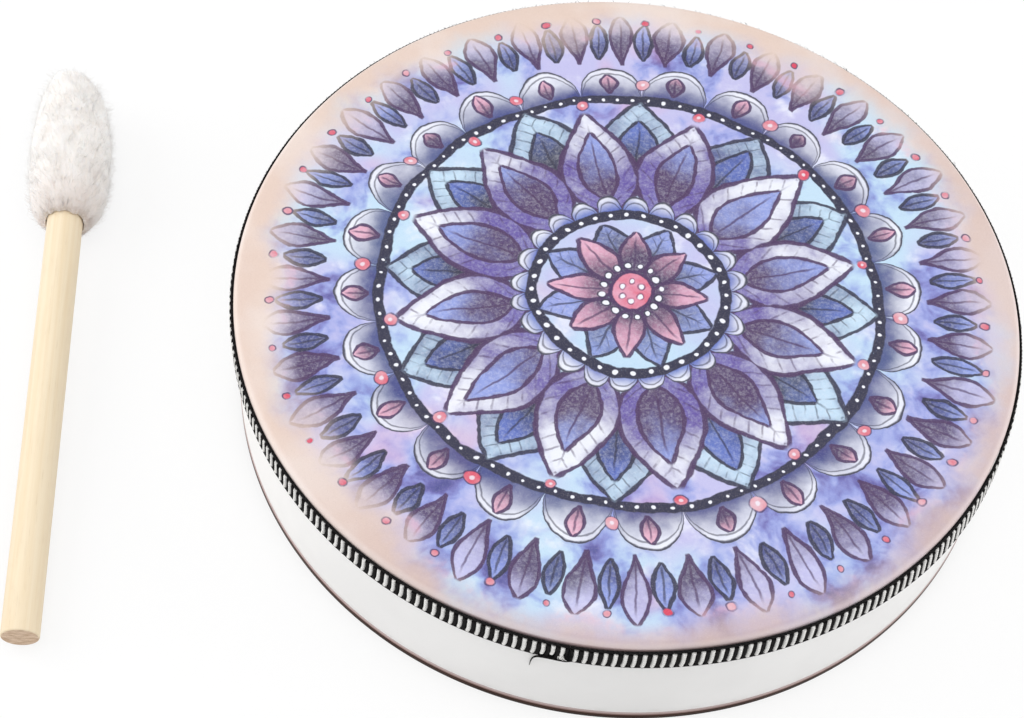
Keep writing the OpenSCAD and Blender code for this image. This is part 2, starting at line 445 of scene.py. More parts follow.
# Painted sheen along the top edge of the bead.
tone = (z.ease(2.9, 3.6) * 0.8).mix(tone, ink(200, 182, 180))
# Rubbed patches, only in the upper half, which add to the painted highlight there.
tone = (rub * 0.3).mix(tone, ink(170, 142, 136))
plug(shader, Base_Color=tone, Roughness=grain * 0.2 + 0.3, height=(grain, 0.03))
BEAD_OUT, BEAD_EASE = 0.2, 0.25
BEAD_SEAM, BEAD_SLANT = 100, 30
bead_back, bead_flat = HOOP_R - SKIN, HOOP_R + BEAD_OUT - BEAD_EASE
low_edge = arc((bead_flat, BEAD_EASE), BEAD_EASE, -90, 0, 3)
high_edge = arc((bead_flat, BEAD_H - BEAD_EASE), BEAD_EASE, 0, 90, 3)
bead_section = [(bead_back, 0)] + low_edge + high_edge + [(bead_back, BEAD_H)]
bead = spun_strip(bead_section, BEAD_SEAM, BEAD_SLANT)
piece("bead", bead, brown, "drum", ["foot_bead"])

# %% [markdown]
# ## The printed head
# The head is one matt membrane, printed in watercolour tones of lavender, blue, indigo and coral, with a
# peach wash at the rim. The print here is a plain rosette of petals, scallops, bands and dots. It is drawn
# wholly with nodes: the distance from the middle and the angle round it place every petal, and the angle is
# cut into equal cells so that one petal becomes a ring of them. Real watercolour wobbles, pools at its edges
# and shows grain, so the coordinates are pushed about by noise first, and each wash takes its strength from
# noise as well.

# %% Watercolour inks
INDIGO = ink(24, 24, 54)
NAVY = ink(42, 50, 112)
BLUE = ink(78, 98, 178)
PERIWINKLE = ink(128, 144, 210)
VIOLET = ink(92, 74, 152)
PLUM = ink(62, 34, 80)
LAVENDER = ink(184, 182, 222)
AQUA = ink(184, 210, 230)
PALE = ink(228, 230, 240)
CORAL = ink(204, 60, 88)
ROSE = ink(216, 158, 182)
PEACH = ink(214, 192, 180)
CREAM = ink(220, 204, 196)
MAUVE = ink(186, 162, 162)

head_print, head_shader, spot = new_finish("printed_head", 0.6)
true_x, true_y, true_z = spot.axes()
hand_x, hand_y = spot.wobbled(0.03, 6.0).wobbled(0.28, 1.1).axes()[:2]
reach = (hand_x * hand_x + hand_y * hand_y).math("SQRT")
turn = hand_y.math("ARCTAN2", hand_x) * (1 / TURN) + 0.5
drift = spot.cloud(0.018, 3.0)
flow = spot.cloud(0.075, 4.0, 0.6)
grain = spot.cloud(1.1, 4.0, 0.7)
brush = spot.cloud(0.2, 3.0)
print("inks ready")


# %% Painting helpers
def cells(count, offset):
    """The circle in equal cells: the number of a cell, and the place across it from -0.5 to 0.5."""
    place = turn * count + offset
    return place.math("FLOOR").math("MODULO", count), place.math("FRACT") - 0.5


def chance(cell, seed):
    """A number from 0 to 1 that is the same all over one cell."""
    return cell.node("ShaderNodeTexWhiteNoise", {"W": cell + seed}, noise_dimensions="1D")


def petals(colour, count, offset, inner, outer, width, fat, root, tip, line, weight=0.9, veins=0):
    """A ring of petals, laid over a colour. Veins counts the slanted veins on each side of a petal."""
    cell, across = cells(count, offset)
    luck = chance(cell, inner)
    longer = (luck - 0.5) * 3.0
    along = ((reach - inner) / (longer + (outer - inner))).math("MAXIMUM", 0.0).math("MINIMUM", 1.0)
    half = (along ** fat * math.pi).math("SINE") * (width / 2)
    side = abs(across) * reach * (TURN / count)
    depth = half - side
    ring = along.ease(0.0, 0.03) * (1 - along.ease(0.96, 1.0))
    pooled = 1 - depth.ease(0.2, 0.14 * width)
    tone = along + (flow - 0.5) * 1.3 + (luck - 0.5) * 0.5
    pigment = tone.ease(0.15, 0.95).mix(root, tip)
    pigment = (pooled * 0.6 * brush.ease(0.3, 0.7)).mix(pigment, root)
    pigment = ((grain - 0.4).ease(0.0, 0.35) * 0.25).mix(pigment, PALE)
    colour = (depth.ease(-0.2, 0.4) * ring * 0.92).mix(colour, pigment)
    vein = (1 - side.ease(0.15, 0.55)) * along.ease(0.05, 0.2) * (1 - along.ease(0.7, 0.92)) * 0.75
    if veins:
        slant = ((along * (outer - inner) - side) * (veins / (outer - inner))).math("FRACT")
        fan = (1 - abs(slant - 0.5).ease(0.03, 0.12)) * depth.ease(0.8, 2.0) * brush.ease(0.35, 0.6)
        vein = vein.math("MAXIMUM", fan * ring * 0.6)
    thick = brush * weight * 1.7 + 0.15
    edge = (1 - abs(depth).ease(thick * 0.55, thick)) * ring * grain.ease(0.18, 0.36)
    return vein.math("MAXIMUM", edge * 0.95).mix(colour, line)


def dots(colour, count, offset, at, size, pigment, line, hollow=0.0):
    """A ring of round dots, each a little off its place."""
    cell, across = cells(count, offset)
    luck = chance(cell, at)
    side = across * reach * (TURN / count)
    away = reach - at + (luck - 0.5) * size * 0.5
    far = (away * away + side * side).math("SQRT") / (luck * 0.35 + 0.8)
    tint = (flow.ease(0.3, 0.7) * 0.5).mix(pigment, PALE)
    colour = (1 - far.ease(size - 0.3, size)).mix(colour, tint)
    rim = 1 - abs(far - size).ease(0.1, 0.4)
    glint = (1 - far.ease(size * 0.2, size * 0.4)) * hollow
    colour = glint.mix(colour, PALE)
    return (rim * brush.ease(0.25, 0.6) * 0.9).mix(colour, line)


def scallops(colour, count, offset, base, tall, root, tip, line):
    """A ring of round arches that stand on a circle."""
    across = cells(count, offset)[1]
    depth = (1 - across * across * 4).math("SQRT") * tall + base - reach
    rise = (reach - base) / tall
    pigment = (rise + (flow - 0.5)).ease(0.0, 1.0).mix(root, tip)
    inside = depth.ease(-0.2, 0.3) * (reach - base).ease(-0.3, 0.2)
    colour = (inside * 0.9).mix(colour, pigment)
    echo = 1 - abs(depth - 2.4).ease(0.15, 0.5)
    edge = 1 - abs(depth).ease(0.4, brush + 0.55)
    foot = 1 - abs(reach - base).ease(0.3, brush * 0.8 + 0.4)
    drawn = (edge.math("MAXIMUM", echo * 0.7) * inside.ease(-0.1, 0.5)).math("MAXIMUM", foot)
    return (drawn * grain.ease(0.18, 0.36) * 0.95).mix(colour, line)


def band(colour, at, wide, pigment):
    """A painted ring, thinner where the brush ran dry."""
    dry = abs(reach - at) + (brush - 0.5) * 1.2
    return ((1 - dry.ease(wide / 2 - 0.3, wide / 2 + 0.2)) * grain.ease(0.15, 0.4)).mix(colour, pigment)


# %% The wet ground under the petals
ground = drift.ease(0.4, 0.6).mix(AQUA, LAVENDER)
ground = (flow.ease(0.5, 0.72) * 0.75).mix(ground, PALE)
front = (0 - true_y).ease(-110, 120)
bloom = spot.wobbled(0.05, 12.0).cloud(0.045, 4.0, 0.65) + front * 0.1
ground = (bloom.ease(0.5, 0.66) * reach.ease(20, 60) * 0.8).mix(ground, PERIWINKLE)
ground = (bloom.ease(0.6, 0.74) * reach.ease(30, 70) * 0.75).mix(ground, VIOLET)
ground = (bloom.ease(0.66, 0.8) * reach.ease(50, 90) * 0.7).mix(ground, NAVY)
ground = (spot.cloud(0.03, 2.0).ease(0.57, 0.7) * 0.4).mix(ground, ROSE)
rim_tone = spot.cloud(0.028, 3.0).ease(0.4, 0.62).mix(PEACH, CREAM)
past_left = true_x.ease(-110, -20)
rim_tone = (front.ease(0.5, 0.95) * past_left * 0.8).mix(rim_tone, MAUVE)
rim_tone = (true_x.ease(30, 120) * 0.4).mix(rim_tone, MAUVE)
wash_edge = reach + (drift - 0.5) * 26 + (flow - 0.5) * 12 - front * past_left * 9
print("ground washed in")

# %% Rings of petals, from the rim to the middle
art = petals(ground, 40, 0.0, 95, 118, 9, 1.4, PLUM, LAVENDER, PLUM, 0.8)
art = petals(art, 40, 0.5, 97, 113, 6, 1.0, NAVY, PERIWINKLE, INDIGO, 0.8)
art = wash_edge.ease(104, 121).mix(art, rim_tone)
art = ((1 - abs(wash_edge - 111).ease(0.4, 3.0)) * flow.ease(0.5, 0.7) * 0.4).mix(art, ROSE)
art = dots(art, 40, 0.5, 114.5, 1.3, CORAL, PLUM)
art = scallops(art, 24, 0.0, 80, 14, NAVY, PALE, INDIGO)
art = petals(art, 24, 0.0, 82, 92, 5.5, 1.2, PLUM, ROSE, PLUM, 0.7)
art = band(art, 79.5, 3.6, INDIGO)
art = dots(art, 96, 0.0, 79.5, 0.8, PALE, INDIGO)
art = petals(art, 12, 0.5, 38, 80, 29, 0.9, NAVY, AQUA, INDIGO, 1.3, 9)
art = petals(art, 12, 0.5, 46, 72, 13, 0.95, INDIGO, BLUE, INDIGO, 0.8)
art = petals(art, 12, 0.0, 30, 75, 26, 0.85, VIOLET, PALE, PLUM, 1.3, 8)
art = petals(art, 12, 0.0, 36, 66, 13, 0.85, PLUM, PERIWINKLE, PLUM, 0.8)
art = dots(art, 12, 0.5, 86, 2.4, CORAL, PLUM, 0.7)
art = dots(art, 12, 0.0, 77, 2.0, CORAL, PLUM, 0.7)
art = scallops(art, 24, 0.5, 31, 7, BLUE, PALE, INDIGO)
art = band(art, 30.5, 4.0, INDIGO)
art = dots(art, 36, 0.0, 30.5, 1.0, PALE, INDIGO)
art = petals(art, 8, 0.0, 6, 29, 16, 0.8, INDIGO, PERIWINKLE, INDIGO, 1.1, 6)
art = petals(art, 8, 0.5, 6, 25, 10, 0.85, PLUM, ROSE, PLUM, 0.9)
art = dots(art, 16, 0.0, 9.5, 1.2, PALE, INDIGO)
art = (1 - reach.ease(6.6, 7.1)).mix(art, flow.ease(0.3, 0.7).mix(CORAL, ROSE))
art = band(art, 6.9, 1.4, PLUM)
art = dots(art, 6, 0.0, 3.6, 1.0, PALE, PLUM)
print("petal rings drawn")

# %% [markdown]
# The membrane turns over the hoop's rounded edge and runs down behind the braid, so the peach wash goes on
# over the bend, where a painted highlight makes it paler, and at the front a thin painted shadow lines it
# above the braid. Its underside is plain and pale, with the print only faintly showing through. Height parts
# the two sides: the whole underside of the flat head lies lower than the middle of the membrane. A fine
# tooth in the surface keeps the gloss dull.

# %% The head's finish and mesh
speck = spot.cloud(3.2, 3.0, 0.7)
art = ((speck - 0.5).ease(0.0, 0.3) * 0.16).mix(art, ink(250, 246, 244))
art = ((0.5 - speck).ease(0.05, 0.3) * 0.2).mix(art, ink(60, 58, 90))
true_reach = (true_x * true_x + true_y * true_y).math("SQRT")
# Painted highlight: the print is lifted paler over the bend of the head.
art = (true_reach.ease(123.4, 125.0) * 0.6).mix(art, ink(186, 170, 166), "SCREEN")
# Painted shadow: a thin dark red line at the front of the head, just above the braid.
art = (true_reach.ease(125.1, 125.35) * (0 - true_y).ease(108, 122) * 0.6).mix(art, ink(104, 60, 62))
under = (1 - true_z.ease(DRUM_H - 0.25, DRUM_H - 0.15)) * (1 - true_reach.ease(outer_ri - 0.4, outer_ri))
backing = (drift.ease(0.3, 0.7) * 0.6).mix(ink(228, 221, 210), ink(216, 207, 194))
backing = (under * 0.14).mix(backing, art)
art = under.mix(art, backing)
tooth = spot.cloud(2.4, 3.0, 0.7) + spot.cloud(0.05, 2.0) * 3.0
plug(head_shader, Base_Color=art, Roughness=grain * 0.2 + 0.5, height=(tooth, 0.035))
COLLAR = 8.0
bend = (outer_ri, bend_z)
outside = [(0, DRUM_H), (40, DRUM_H), (90, DRUM_H), (118, DRUM_H)] + arc(bend, bend_out, 90, 0, 10)
edge = [(outer_ri + bend_out, bend_z - COLLAR), (outer_ri + bend_in, bend_z - COLLAR)]
inside = arc(bend, bend_in, 0, 90, 8) + [(118, DRUM_H - SKIN), (60, DRUM_H - SKIN), (0, DRUM_H - SKIN)]
piece("head", spun_whole(outside + edge + inside), head_print, "drum", ["drum_head"], 60)

# %% [markdown]
# ## The braid
# The trim is a sewn braid: a black ground tape with a raised lower edge, a twisted black header along its
# upper edge, and white and black yarn bundles side by side between. Each bundle is wound yarn, so it is
# full at each turn and drawn in between, and its lower end hooks a little to one side. One bundle is built
# by drawing a small section up ring by ring with extrude, scale and translate. Then it is copied round the
# drum, and each copy is stretched and leaned a little, because nothing sewn is quite even. The finish adds
# what is too fine for the mesh: slanted windings, with fibres over them.

# %% Sizes of the braid, in mm
TAPE_T, BRAID_H, BRAID_DROP = 0.35, 8.8, 2.3
HEADER_R, HEADER_OUT = 0.7, 0.6
RIB_COUNT, WHITE_SHARE, RIB_GAP = 279, 0.54, 0.06
JOIN, JOIN_PITCHES = math.radians(-94.4), 1.4
SHORT_LEN, SHORT_BY = 11.0, 3.2
SELVEDGE_H, SELVEDGE_OUT = 0.45, 0.9
tape_ri = outer_ri + bend_out + GLUE
tape_ro = tape_ri + TAPE_T
rib_r = tape_ro + GLUE
header_z = DRUM_H - BRAID_DROP - HEADER_R
braid_z = DRUM_H - BRAID_DROP - BRAID_H
rib_low = braid_z + SELVEDGE_H + GLUE
rib_tall = header_z - HEADER_R - GLUE - rib_low
pitch = TURN / (RIB_COUNT - 1 + JOIN_PITCHES)
pitch_len = rib_r * pitch
white_w = WHITE_SHARE * pitch_len - RIB_GAP
black_w = (1 - WHITE_SHARE) * pitch_len - RIB_GAP
end_w = (JOIN_PITCHES * pitch_len - white_w - 2 * RIB_GAP - SEAM_GAP) / 2
print("rib pitch, white rib and black rib in mm:", [round(size, 3) for size in (pitch_len, white_w, black_w)])


# %% Yarn finishes
WINDING = 0.62


def yarn(name, bright, dull):
    """Wound yarn: slanted windings and fine fibres, with painted shade in the grooves between them."""
    material, shader, spot = new_finish(name, 0.9, Specular_IOR_Level=0.1)
    x, y, z = spot.axes()
    around = y.math("ARCTAN2", x) * rib_r
    fibre = spot.wobbled(0.9, 0.6).cloud(4.5, 3.0, 0.65)
    winding = ((z + around * 0.4 + (fibre - 0.5) * 0.3) * (TURN / WINDING)).math("SINE") * 0.5 + 0.5
    patch = spot.cloud(0.35, 2.0)
    # Painted shade: the yarn is duller in the grooves between the windings and brighter on them.
    tone = (winding * 0.55 + fibre * 0.5).ease(0.2, 0.75).mix(dull, bright)
    tone = (patch.ease(0.5, 0.75) * 0.35).mix(tone, dull)
    plug(shader, Base_Color=tone, Roughness=fibre * 0.2 + 0.75, height=(winding * 0.6 + fibre, 0.1))
    return material


white_yarn = yarn("white_yarn", ink(254, 253, 251), ink(222, 220, 217))
black_yarn = yarn("black_yarn", ink(30, 28, 29), ink(12, 11, 12))


# %% One yarn bundle
def drawn_up(shape, edges):
    """Extrudes an open ring of edges, and returns the new ring's vertices and edges."""
    grown = bmesh.ops.extrude_edge_only(shape, edges=edges)["geom"]
    verts = [item for item in grown if isinstance(item, bmesh.types.BMVert)]
    ring = set(verts)
    edges = [item for item in grown if isinstance(item, bmesh.types.BMEdge)]
    return verts, [edge for edge in edges if ring.issuperset(edge.verts)]


def yarn_bundle(width, out, turns, hook):
    """One upright bundle, in mm about its own foot: X outwards, Y along the braid, Z up."""
    shape = bmesh.new()
    section = [(0, -0.5), (0.5, -0.49), (0.9, -0.3), (1.0, 0.0), (0.9, 0.3), (0.5, 0.49), (0, 0.5)]
    foot = shape.faces.new([shape.verts.new((x * out, y * width, 0)) for x, y in section])
    edges = foot.edges[:]
    bmesh.ops.scale(shape, verts=foot.verts, vec=(0.88, 0.94, 1))
    size, height, side = 0.94, 0.0, 0.0
    middles = [(0.3 + step * 0.5) / turns for step in range(2 * turns - 1)]
    rings = [(share, 0.9 if step % 2 else 1.0) for step, share in enumerate(middles)]
    for share, fuller in [(0.02, 1.0)] + rings + [(1.0, 0.92)]:
        verts, edges = drawn_up(shape, edges)
        bent = -hook * max(0.0, 0.42 - share) ** 2 / 0.42 ** 2 + hook
        bmesh.ops.scale(shape, verts=verts, vec=(fuller / size, fuller / size, 1))
        bmesh.ops.translate(shape, verts=verts, vec=(0, bent - side, share * rib_tall - height))
        size, height, side = fuller, share * rib_tall, bent
    bmesh.ops.edgeloop_fill(shape, edges=edges)
    bmesh.ops.translate(shape, verts=shape.verts, vec=(0, -hook, 0))
    return shape


def add_to(target, shape, matrix=Matrix.Identity(4)):
    """Adds a moved copy of one shape to another, by way of a mesh, which is quick on a large target."""
    passing = bpy.data.meshes.new("passing")
    shape.to_mesh(passing)
    passing.transform(matrix)
    target.from_mesh(passing)
    bpy.data.meshes.remove(passing)


LEAN, UNEVEN = 0.07, 0.014


def set_round(bundle, places, luck, short_by=0.0):
    """Copies a bundle to places round the drum: the turn from the join, and a factor on its width."""
    ribs = bmesh.new()
    for turn_by, wide in places:
        rise = short_by * max(0.0, 1 - (TURN - turn_by) * rib_r / SHORT_LEN)
        even = Matrix.Diagonal((luck.gauss(1, 0.03), wide * luck.gauss(1, 0.025), 1 - rise / rib_tall, 1))
        lean = Matrix.Rotation(luck.gauss(LEAN * math.sin(turn_by), UNEVEN), 4, "X")
        stand = Matrix.Rotation(JOIN + turn_by, 4, "Z") @ Matrix.Translation((rib_r, 0, rib_low + rise))
        add_to(ribs, bundle, Matrix.Scale(MM, 4) @ stand @ lean @ even)
    bundle.free()
    return ribs


# %% White and black bundles
luck = random.Random(27)
WHITE_TIGHT, BLACK_FULL = 0.93, 1.08
WHITE_OUT, BLACK_OUT = 1.05, 0.95
WINDS, HOOK = 6, 0.35
white_places = [((JOIN_PITCHES / 2 + i) * pitch, WHITE_TIGHT) for i in range(RIB_COUNT)]
black_places = [((JOIN_PITCHES / 2 + i + 0.5) * pitch, BLACK_FULL) for i in range(RIB_COUNT - 1)]
end_turn = (end_w + SEAM_GAP) / 2 / rib_r
black_places += [(end_turn, end_w / black_w), (TURN - end_turn, end_w / black_w)]
white_bundle = yarn_bundle(white_w, WHITE_OUT, WINDS, HOOK)
black_bundle = yarn_bundle(black_w, BLACK_OUT, WINDS, HOOK)
white_ribs = set_round(white_bundle, white_places, luck, SHORT_BY)
black_ribs = set_round(black_bundle, black_places, luck)
print("bundles:", len(white_places), "white,", len(black_places), "black")


# %% [markdown]
# ## The join in the braid
# The braid is cut to length and its ends are butted in front. The last white bundles at the left end have
# drawn up short, the very last is frayed, and one black yarn has come loose: it runs along the lower edge
# and hooks down over the white wall. A thread is a small circle extruded from point to point along a
# smoothed path. These bits are short and belong to the braid, so they are part of its pieces.


# %% Frayed fibres and the loose thread
def cut_corners(path, rounds=2):
    """A smoother path: each round cuts every corner at a quarter of its two sides."""
    for _ in range(rounds):
        inner = [p for a, b in zip(path, path[1:]) for p in (a.lerp(b, 0.25), a.lerp(b, 0.75))]
        path = [path[0]] + inner[1:-1] + [path[-1]]
    return path


def thread(target, path, thick, sides=6):
    """Draws a tapering thread along a path of points in metres, and adds it to a shape."""
    shape = bmesh.new()
    verts = bmesh.ops.create_circle(shape, cap_ends=True, segments=sides, radius=1.0)["verts"]
    edges, old = shape.edges[:], Matrix.Identity(4)
    for step, point in enumerate(path):
        ahead = path[min(step + 1, len(path) - 1)] - path[max(step - 1, 0)]
        size = thick * (1 - 0.75 * (step / (len(path) - 1)) ** 3)
        facing = ahead.to_track_quat("Z", "X").to_matrix().to_4x4()
        new = Matrix.Translation(point) @ facing @ Matrix.Scale(size, 4)
        if step:
            verts, edges = drawn_up(shape, edges)
        bmesh.ops.transform(shape, matrix=new @ old.inverted(), verts=verts)
        old = new
    bmesh.ops.edgeloop_fill(shape, edges=edges)
    add_to(target, shape)
    shape.free()


def on_braid(along, height, reach_out):
    """A point by its distance along the braid from the join, its height and its radius, all in mm."""
    angle = JOIN + along / rib_r
    return Vector((reach_out * math.cos(angle), reach_out * math.sin(angle), height)) * MM


loose_yarn = [
    (0.7, 39.3, 126.7), (-0.6, 38.7, 126.8), (-2.6, 38.65, 126.8), (-4.6, 38.7, 126.8), (-6.6, 38.65, 126.85),
    (-8.2, 38.5, 126.9), (-9.5, 37.3, 126.6), (-10.4, 34.7, 126.0), (-10.9, 31.3, 125.6),
    (-11.1, 27.8, 125.25)
]
thread(black_ribs, cut_corners([on_braid(*point) for point in loose_yarn]), 0.42 * MM)


def frayed(target, along, height, reach_out, drop, thick):
    """A short bent fibre that stands off the braid, and ends lower or higher by the drop."""
    out = luck.uniform(0.15, 0.6)
    bow = (along + luck.gauss(0.2, 0.35), height - drop * luck.uniform(0.3, 0.6), reach_out + out)
    low = height - drop * luck.uniform(0.8, 1.3)
    tip = (bow[0] + luck.gauss(0.3, 0.4), low, reach_out + out * luck.random())
    path = [on_braid(*point) for point in ((along, height, reach_out), bow, tip)]
    thread(target, cut_corners(path, 1), thick * MM, 4)


for _ in range(14):
    frayed(white_ribs, luck.gauss(-2.0, 0.45), luck.uniform(40.5, 41.9), 126.6, 1.9, 0.15)
for _ in range(20):
    frayed(black_ribs, luck.gauss(-0.2, 0.5), luck.uniform(39.9, 45.0), 126.5, 1.6, 0.13)
for _ in range(260):
    frayed(black_ribs, luck.uniform(0, TURN) * rib_r, header_z + 0.4, 125.9, -0.75, 0.06)
print("loose yarn laid")

# %% [markdown]
# ## Header and ground tape
# The header is two black yarns twisted together. A twist could be two swept tubes, but one half-round
# section spun in many small steps does as well: each point is then moved out or in by its angle on the
# section less the twist so far, which leaves two lobes that wind round each other. Its back stays flat on
# the tape.

# %% Header and tape
TWIST = 280
header_middle = (tape_ro + HEADER_OUT - HEADER_R, header_z)
join_degrees = math.degrees(JOIN)
half_open = math.degrees(math.acos((rib_r - header_middle[0]) / HEADER_R))
header = spun_strip(arc(header_middle, HEADER_R, -half_open, half_open, 8), join_degrees, steps=TWIST * 7)
for vert in header.verts:
    angle = math.atan2(vert.co.y, vert.co.x)
    away = Vector((vert.co.xy.length / MM - header_middle[0], vert.co.z / MM - header_middle[1]))
    lobe = abs(math.cos(math.atan2(away.y, away.x) - TWIST * angle))
    away *= 0.74 + 0.26 * lobe + 0.05 * noise.noise(vert.co * 900)
    reach_out = header_middle[0] + away.x
    vert.co = Vector((math.cos(angle) * reach_out, math.sin(angle) * reach_out, header_z + away.y)) * MM
foot_ro = tape_ro + SELVEDGE_OUT
selvedge = arc((foot_ro - SELVEDGE_H / 2, braid_z + SELVEDGE_H / 2), SELVEDGE_H / 2, -90, 90, 6)
above = [(tape_ro, braid_z + SELVEDGE_H), (tape_ro, header_z), (tape_ri, header_z)]
tape = spun_strip([(tape_ri, braid_z)] + selvedge + above, join_degrees, steps=720)

# %% [markdown]
# ## Laid by hand
# The braid was glued on by hand, so it isn't quite level: it runs high beside the join, and its lower edge
# stands off the wall a little at the right. All four meshes of the braid are moved by the same rule, so
# they keep their places on each other.


# %% Uneven braid
def bump(angle, middle, before, after):
    """A smooth hill over angles in degrees, with its own width on each side of its middle."""
    return math.exp(-0.5 * ((angle - middle) / (before if angle < middle else after)) ** 2)


RISE, DIP, FLARE = 1.0, 0.35, 0.9
RISE_AT, DIP_AT, FLARE_AT = -77, -93, -36


def laid_by_hand(shape):
    """Lifts, drops and flares a mesh of the braid, by the direction and height of each point."""
    for vert in shape.verts:
        angle = math.degrees(math.atan2(vert.co.y, vert.co.x))
        share = (vert.co.z / MM - braid_z) / BRAID_H
        rise = RISE * bump(angle, RISE_AT, 5, 12) - DIP * bump(angle, DIP_AT, 4, 4)
        flare = FLARE * bump(angle, FLARE_AT, 13, 13) * max(0.0, 1 - share)
        vert.co.xy *= 1 + flare * MM / vert.co.xy.length
        vert.co.z += rise * (0.3 + 0.7 * share) * MM
    return shape


BRAID_PARTS = {
    "white_bundles": (white_ribs, white_yarn, "white_yarn", "braid_white_ribs"),
    "black_bundles": (black_ribs, black_yarn, "black_yarn", "braid_black_ribs"),
    "header": (header, black_yarn, "black_yarn", "braid_header"),
    "tape": (tape, black_yarn, "black_yarn", "braid_tape"),
}
for name, (shape, finish, slot, node) in BRAID_PARTS.items():
    piece(name, laid_by_hand(shape), finish, "drum", [node], 70)

# %% [markdown]
# ## Where the beater lies
# The beater is built upright about its own axis, where spinning is easy, and then laid down by one matrix.
# It rests on the edge of its butt and on the belly of the fleece, so the matrix tips it by the angle that
# lets both touch the floor. The matrix goes into the mesh, and the object itself stays at the origin.

# %% Sizes of the beater, in mm
HANDLE_R, GRIP, SOCKET, CHAMFER = 6.0, 153.0, 42.0, 0.6
FLEECE_R, FLEECE_LEN, PILE = 14.0, 60.0, 5.0
BELLY, REACH, FULLNESS = 0.64, 0.68, 0.78
BUTT = (-175.0, -121.5)
HEADING = math.radians(96)


def swell(share, radius, reach):
    return radius * max(0.0, 1 - ((share - BELLY) / reach) ** 2) ** FULLNESS


def fleece_radius(station):
    """Outline of the fleece at a distance from the butt."""
    return swell(1 - (station - GRIP) / FLEECE_LEN, FLEECE_R, REACH)


fleece_end = GRIP + FLEECE_LEN * (1 - BELLY + REACH)
stations = [GRIP + (fleece_end - GRIP) * step / 60 for step in range(61)]
tilt = math.atan(max((fleece_radius(s) - HANDLE_R) / (s - CHAMFER) for s in stations))
butt_z = HANDLE_R * math.cos(tilt) - CHAMFER * math.sin(tilt)
turned_down = Matrix.Rotation(HEADING, 4, "Z") @ Matrix.Rotation(math.pi / 2 - tilt, 4, "Y")
lay_down = Matrix.Translation(Vector((*BUTT, butt_z)) * MM) @ turned_down
print("tilt in degrees:", round(math.degrees(tilt), 2), "fleece end in mm:", round(fleece_end, 1))

# %% [markdown]
# ## The dowel
# The handle is a bare, pale dowel. Its grain runs the long way, and its butt shows end grain. A Mapping node
# set to Texture undoes the matrix above, so the pattern is read along the dowel's own axis. Long streaks
# are noise that is drawn out along that axis, and the end grain is noise that isn't.

# %% Dowel wood
def along_axis(spot):
    """Coordinates on the beater's own axis, with Z from the butt to the tip."""
    inputs = {"Vector": spot, "Location": (*BUTT, butt_z), "Rotation": (0, math.pi / 2 - tilt, HEADING)}
    return spot.node("ShaderNodeMapping", inputs, vector_type="TEXTURE").axes()


dowel_wood, shader, spot = new_finish("dowel_wood", 0.5)
x, y, z = along_axis(spot)
streak = spot.vector(x, y, z * 0.02).cloud(0.55, 4.0, 0.6)
fine = spot.vector(x * 3, y * 3, z * 0.05).cloud(0.8, 3.0, 0.6)
pore = spot.vector(x * 4, y * 4, z * 0.14).cloud(0.9, 2.0).ease(0.63, 0.74)
tone = streak.ease(0.32, 0.7).mix(ink(231, 215, 187), ink(226, 206, 173))
tone = (fine.ease(0.5, 0.8) * 0.18).mix(tone, ink(214, 188, 150))
tone = (pore * 0.22).mix(tone, ink(186, 154, 114))
ends = (1 - z.ease(0.02, 0.12)).math("MAXIMUM", z.ease(GRIP + SOCKET - 0.12, GRIP + SOCKET - 0.02))
ring = spot.vector(x + 9, y * 0.35, 0.0).cloud(0.9, 3.0)
end_tone = ring.ease(0.35, 0.65).mix(ink(226, 201, 176), ink(198, 168, 140))
end_tone = (spot.cloud(3.0, 2.0).ease(0.55, 0.7) * 0.5).mix(end_tone, ink(170, 136, 102))
tone = ends.mix(tone, end_tone)
rub = spot.vector(x * 0.2, y * 0.2, z * 0.06).cloud(0.6, 2.0)
plug(shader, Base_Color=tone, Roughness=rub * 0.25 + 0.36 + ends * 0.3, height=(fine * 0.6 - pore, 0.05))

# %% The dowel's mesh
handle_end = GRIP + SOCKET
butt_edge = arc((HANDLE_R - CHAMFER, CHAMFER), CHAMFER, -90, 0, 4)
far_edge = arc((HANDLE_R - CHAMFER, handle_end - CHAMFER), CHAMFER, 0, 90, 4)
lengths = [(HANDLE_R, 40.0), (HANDLE_R, 80.0), (HANDLE_R, 120.0)]
dowel = spun_whole([(0, 0), (3.0, 0)] + butt_edge + lengths + far_edge + [(0, handle_end)], 96)
bmesh.ops.transform(dowel, matrix=lay_down, verts=dowel.verts)
piece("dowel", dowel, dowel_wood, "beater", ["beater_handle"])

# %% [markdown]
# ## Inside the head
# A pad of cotton wadding on the end of the dowel gives the head its body, and a few turns of thread bind
# the fleece's hem on the dowel. Both hide under the pile. The wadding is spun and then pushed about by noise
# so that it is lumpy, and the thread is a small circle spun several times round with a step along the axis.

# %% Wadding and binding
WADDING_REACH, WADDING_NECK, TUFTS = 0.56, 0.88, 0.06
wadding_cloth, shader, spot = new_finish("wadding", 0.95)
tuft = spot.wobbled(0.3, 2.0).cloud(0.9, 4.0)
plug(shader, Base_Color=tuft.ease(0.3, 0.7).mix(ink(238, 234, 226), ink(220, 214, 204)), height=(tuft, 0.5))
shares = [WADDING_NECK - step / 20 * (WADDING_NECK - BELLY + WADDING_REACH) for step in range(21)]
crown = [(swell(u, FLEECE_R - PILE, WADDING_REACH), GRIP + (1 - u) * FLEECE_LEN) for u in shares]
hollow = [(0, handle_end + GLUE), (HANDLE_R + GLUE, handle_end + GLUE), (HANDLE_R + GLUE, crown[0][1])]
wadding = spun_whole(hollow + crown, 64)
for vert in wadding.verts:
    if vert.co.xy.length > (HANDLE_R + 0.5) * MM:
        vert.co.xy *= 1 - TUFTS * abs(noise.noise(vert.co * 300))
